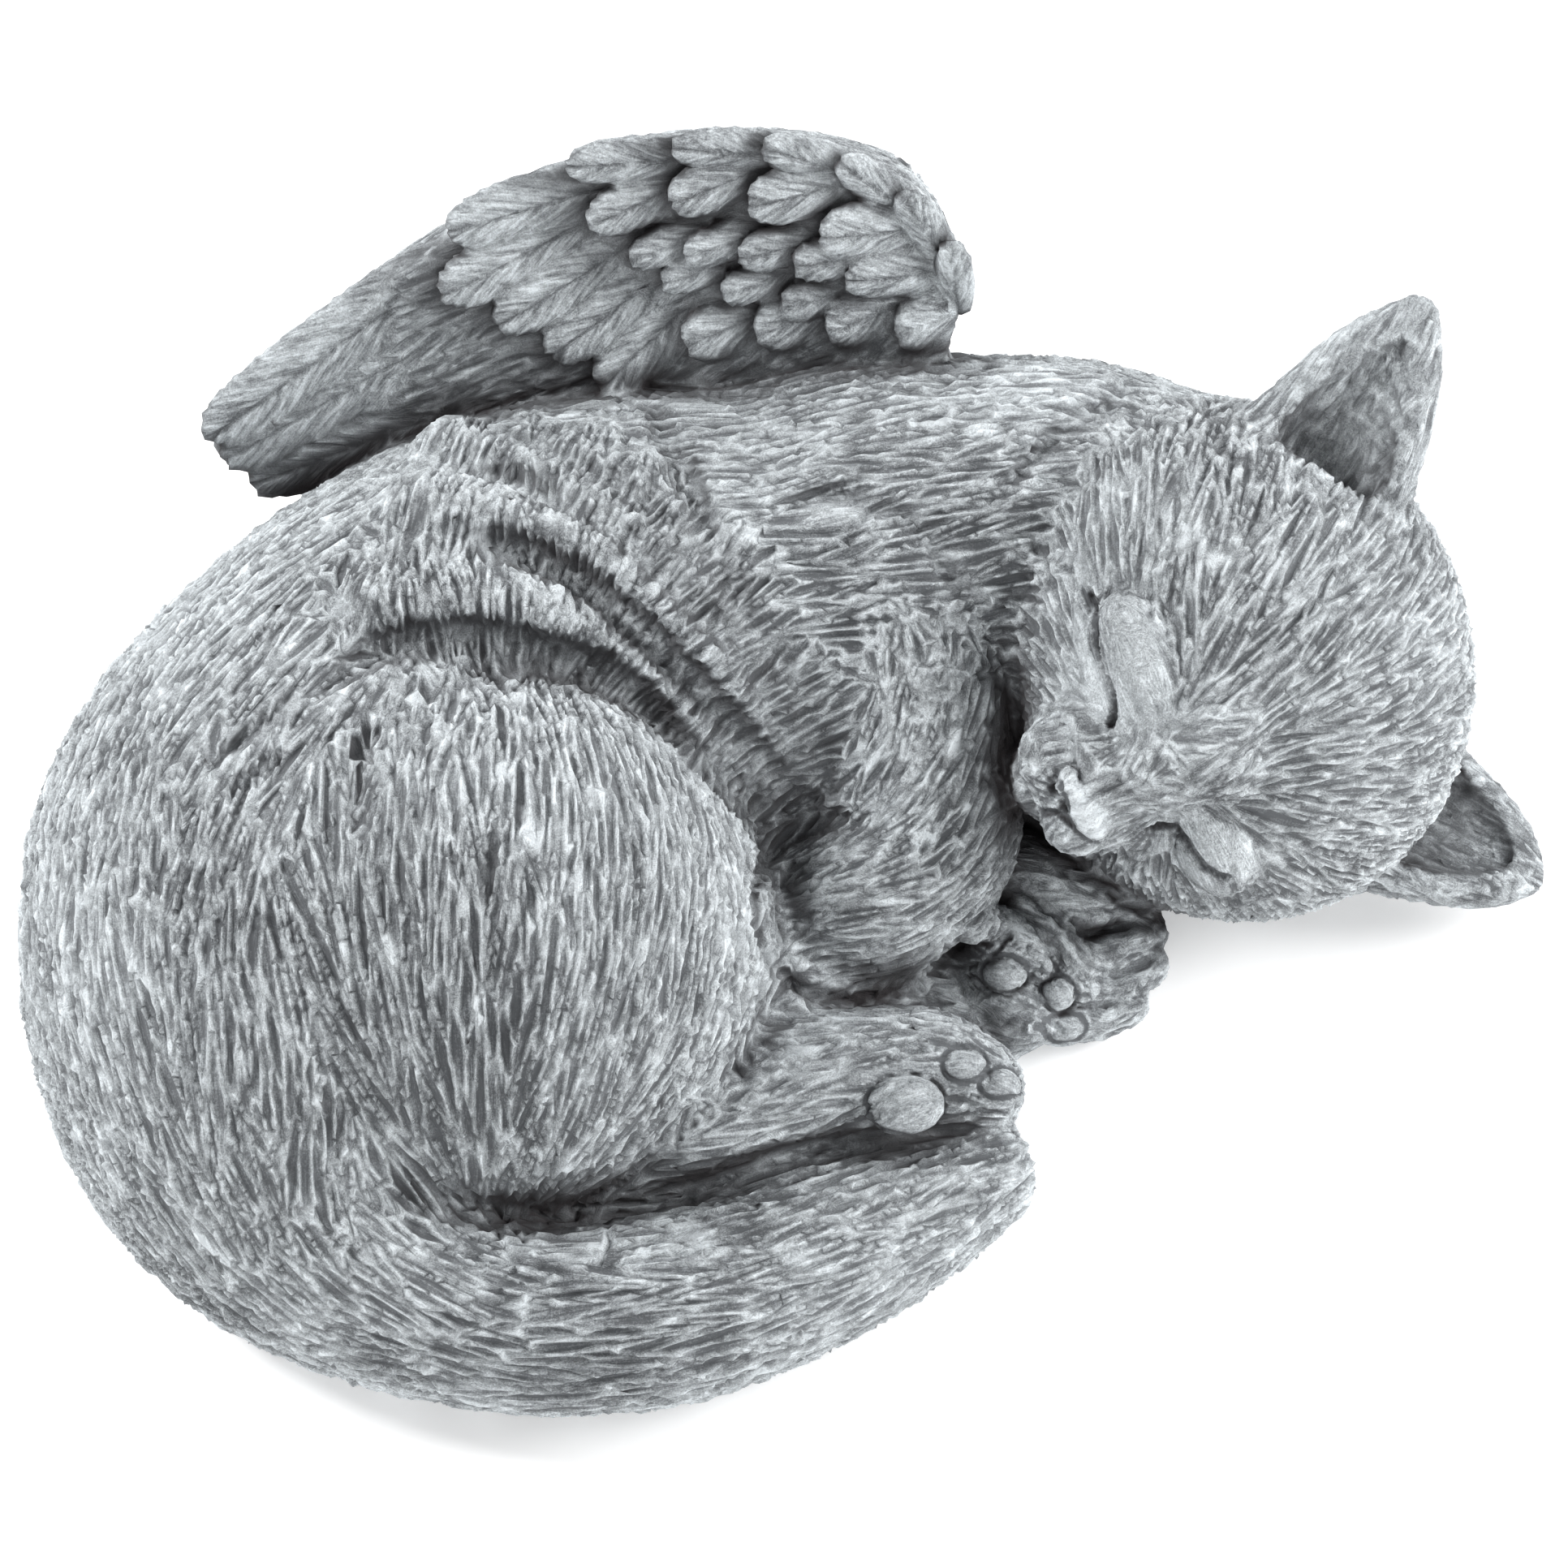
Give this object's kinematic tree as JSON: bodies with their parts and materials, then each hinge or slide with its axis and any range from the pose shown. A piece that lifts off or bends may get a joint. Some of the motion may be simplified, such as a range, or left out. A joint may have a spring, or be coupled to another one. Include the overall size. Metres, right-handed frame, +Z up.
{
  "type": "sleeping angel cat statue",
  "caption": "Curled sleeping cat with a feathered wing raised on its back, cast in one piece in stone with a flat underside, to stand on a grave or in a garden.",
  "frame": {"origin": "middle of the flat underside's bounding rectangle, on the ground", "axes": "+Z up, +X towards the cat's head, +Y towards its back and wing, -Y towards its tail and paws"},
  "size_m": [0.243, 0.1868, 0.1011],
  "materials": {
    "cast_stone": "matte"
  },
  "bodies": {
    "root": {"angel_cat": "cast_stone"}
  },
  "joints": []
}
